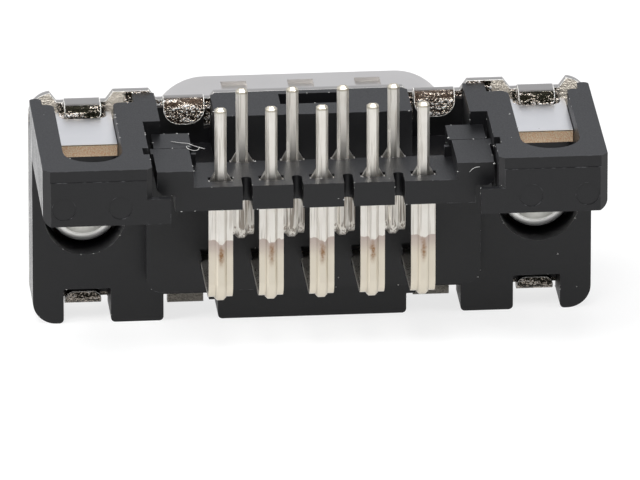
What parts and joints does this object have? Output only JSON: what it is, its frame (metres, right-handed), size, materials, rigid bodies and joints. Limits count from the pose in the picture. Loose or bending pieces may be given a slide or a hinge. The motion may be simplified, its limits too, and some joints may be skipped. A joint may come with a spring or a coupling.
{
  "type": "right-angle d-sub connector",
  "caption": "Right-angle D-shaped plug connector for a circuit board, with a folded metal shell, black housing with two slotted side brackets and bent contact pins.",
  "frame": {"origin": "where the axis of the D-shaped shell meets the front face of the flange", "axes": "+X along the flange, +Y out of the mating face, +Z towards the circuit board, so the contact tails point up"},
  "size_m": [0.0308, 0.0181, 0.0149],
  "materials": {
    "plated_steel": "satin tin-plated steel",
    "black_plastic": "moulded matte black",
    "tinned_strap": "bright tin plate with a bare copper-coloured sheared edge",
    "nickel_insert": "turned and nickel plated",
    "tinned_contact": "satin tin plate"
  },
  "bodies": {
    "root": {"front_shell": "plated_steel", "housing": "black_plastic", "tine_plate": "black_plastic", "ground_strap_left": "tinned_strap", "ground_strap_right": "tinned_strap", "threaded_insert_left": "nickel_insert", "threaded_insert_right": "nickel_insert", "contact_1": "tinned_contact", "contact_2": "tinned_contact", "contact_3": "tinned_contact", "contact_4": "tinned_contact", "contact_5": "tinned_contact", "contact_6": "tinned_contact", "contact_7": "tinned_contact", "contact_8": "tinned_contact", "contact_9": "tinned_contact"}
  },
  "joints": []
}
